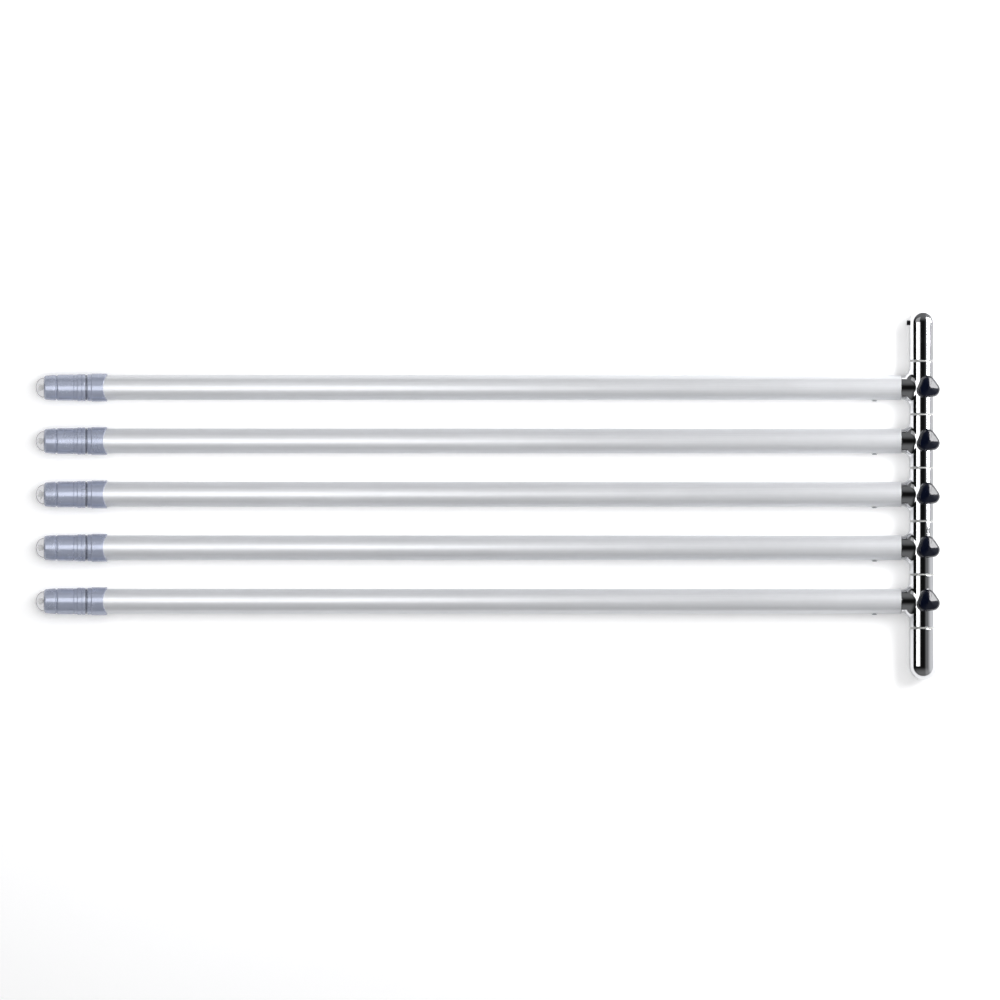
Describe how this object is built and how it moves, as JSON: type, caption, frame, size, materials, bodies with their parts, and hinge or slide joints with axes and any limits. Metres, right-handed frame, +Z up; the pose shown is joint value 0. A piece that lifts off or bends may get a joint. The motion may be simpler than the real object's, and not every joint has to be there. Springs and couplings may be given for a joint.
{
  "type": "multi-arm rake frame",
  "caption": "Rake-shaped frame of long satin aluminium tubes whose chromed tees turn on a shared crossbar and are clamped by three-lobed black knobs, with ringed grey ends and polished eyes.",
  "frame": {"origin": "centre of the bounding box at the bottom, where the flat-lying frame touches the surface under it", "axes": "+X from the hanging eyes to the crossbar along the arms, +Y along the crossbar towards arm 1 and the end with the proud set screw, +Z up through the knobs"},
  "size_m": [0.9038, 0.3712, 0.0424],
  "materials": {
    "rod_steel": "drawn steel",
    "chrome": "mirror chrome plate",
    "washer_nylon": "natural nylon",
    "black_screw": "black oxide",
    "satin_aluminium": "satin anodised",
    "rivet_aluminium": "plain",
    "knob_plastic": "glossy blue-black",
    "stud_steel": "zinc plated",
    "pad_nylon": "natural nylon",
    "collar_plastic": "satin grey",
    "barrel_plastic": "satin grey",
    "polished_steel": "polished"
  },
  "bodies": {
    "crossbar": {"crossbar_rod": "rod_steel", "end_sleeve_top": "chrome", "end_sleeve_bottom": "chrome", "end_screw_top": "black_screw", "end_screw_bottom": "black_screw", "washer_1": "washer_nylon", "washer_2": "washer_nylon", "washer_3": "washer_nylon", "washer_4": "washer_nylon", "washer_5": "washer_nylon", "washer_6": "washer_nylon"},
    "arm_1": {"tee_1": "chrome", "arm_tube_1": "satin_aluminium", "tube_rivet_1": "rivet_aluminium", "grip_collar_1": "collar_plastic", "grip_barrel_1": "barrel_plastic", "hanging_eye_1": "polished_steel"},
    "pad_1": {"clamp_pad_1": "pad_nylon"},
    "knob_1": {"clamp_knob_1": "knob_plastic", "clamp_stud_1": "stud_steel"},
    "arm_2": {"tee_2": "chrome", "arm_tube_2": "satin_aluminium", "tube_rivet_2": "rivet_aluminium", "grip_collar_2": "collar_plastic", "grip_barrel_2": "barrel_plastic", "hanging_eye_2": "polished_steel"},
    "pad_2": {"clamp_pad_2": "pad_nylon"},
    "knob_2": {"clamp_knob_2": "knob_plastic", "clamp_stud_2": "stud_steel"},
    "arm_3": {"tee_3": "chrome", "arm_tube_3": "satin_aluminium", "tube_rivet_3": "rivet_aluminium", "grip_collar_3": "collar_plastic", "grip_barrel_3": "barrel_plastic", "hanging_eye_3": "polished_steel"},
    "pad_3": {"clamp_pad_3": "pad_nylon"},
    "knob_3": {"clamp_knob_3": "knob_plastic", "clamp_stud_3": "stud_steel"},
    "arm_4": {"tee_4": "chrome", "arm_tube_4": "satin_aluminium", "tube_rivet_4": "rivet_aluminium", "grip_collar_4": "collar_plastic", "grip_barrel_4": "barrel_plastic", "hanging_eye_4": "polished_steel"},
    "pad_4": {"clamp_pad_4": "pad_nylon"},
    "knob_4": {"clamp_knob_4": "knob_plastic", "clamp_stud_4": "stud_steel"},
    "arm_5": {"tee_5": "chrome", "arm_tube_5": "satin_aluminium", "tube_rivet_5": "rivet_aluminium", "grip_collar_5": "collar_plastic", "grip_barrel_5": "barrel_plastic", "hanging_eye_5": "polished_steel"},
    "pad_5": {"clamp_pad_5": "pad_nylon"},
    "knob_5": {"clamp_knob_5": "knob_plastic", "clamp_stud_5": "stud_steel"}
  },
  "joints": [
    {"name": "arm_1_swing", "type": "hinge", "parent": "crossbar", "child": "arm_1", "pos_m": [0.43558, 0.1068, 0.014], "axis": [0, 1, 0], "continuous": true},
    {"name": "pad_1_travel", "type": "slide", "parent": "arm_1", "child": "pad_1", "axis": [0.2079, 0, 0.9781], "range_m": [0, 0.00201]},
    {"name": "knob_1_turn", "type": "hinge", "parent": "pad_1", "child": "knob_1", "pos_m": [0.43558, 0.1068, 0.014], "axis": [0.2079, 0, 0.9781], "range_deg": [0, 720]},
    {"name": "arm_2_swing", "type": "hinge", "parent": "crossbar", "child": "arm_2", "pos_m": [0.43558, 0.0534, 0.014], "axis": [0, 1, 0], "continuous": true},
    {"name": "pad_2_travel", "type": "slide", "parent": "arm_2", "child": "pad_2", "axis": [0.2079, 0, 0.9781], "range_m": [0, 0.00201]},
    {"name": "knob_2_turn", "type": "hinge", "parent": "pad_2", "child": "knob_2", "pos_m": [0.43558, 0.0534, 0.014], "axis": [0.2079, 0, 0.9781], "range_deg": [0, 720]},
    {"name": "arm_3_swing", "type": "hinge", "parent": "crossbar", "child": "arm_3", "pos_m": [0.43558, 0, 0.014], "axis": [0, 1, 0], "continuous": true},
    {"name": "pad_3_travel", "type": "slide", "parent": "arm_3", "child": "pad_3", "axis": [0.2079, 0, 0.9781], "range_m": [0, 0.00201]},
    {"name": "knob_3_turn", "type": "hinge", "parent": "pad_3", "child": "knob_3", "pos_m": [0.43558, 0, 0.014], "axis": [0.2079, 0, 0.9781], "range_deg": [0, 720]},
    {"name": "arm_4_swing", "type": "hinge", "parent": "crossbar", "child": "arm_4", "pos_m": [0.43558, -0.0534, 0.014], "axis": [0, 1, 0], "continuous": true},
    {"name": "pad_4_travel", "type": "slide", "parent": "arm_4", "child": "pad_4", "axis": [0.2079, 0, 0.9781], "range_m": [0, 0.00201]},
    {"name": "knob_4_turn", "type": "hinge", "parent": "pad_4", "child": "knob_4", "pos_m": [0.43558, -0.0534, 0.014], "axis": [0.2079, 0, 0.9781], "range_deg": [0, 720]},
    {"name": "arm_5_swing", "type": "hinge", "parent": "crossbar", "child": "arm_5", "pos_m": [0.43558, -0.1068, 0.014], "axis": [0, 1, 0], "continuous": true},
    {"name": "pad_5_travel", "type": "slide", "parent": "arm_5", "child": "pad_5", "axis": [0.2079, 0, 0.9781], "range_m": [0, 0.00201]},
    {"name": "knob_5_turn", "type": "hinge", "parent": "pad_5", "child": "knob_5", "pos_m": [0.43558, -0.1068, 0.014], "axis": [0.2079, 0, 0.9781], "range_deg": [0, 720]}
  ],
  "couplings": [
    {"joint": "pad_1_travel", "follows": "knob_1_turn", "m_per_rad": 0.00015915},
    {"joint": "pad_2_travel", "follows": "knob_2_turn", "m_per_rad": 0.00015915},
    {"joint": "pad_3_travel", "follows": "knob_3_turn", "m_per_rad": 0.00015915},
    {"joint": "pad_4_travel", "follows": "knob_4_turn", "m_per_rad": 0.00015915},
    {"joint": "pad_5_travel", "follows": "knob_5_turn", "m_per_rad": 0.00015915}
  ]
}
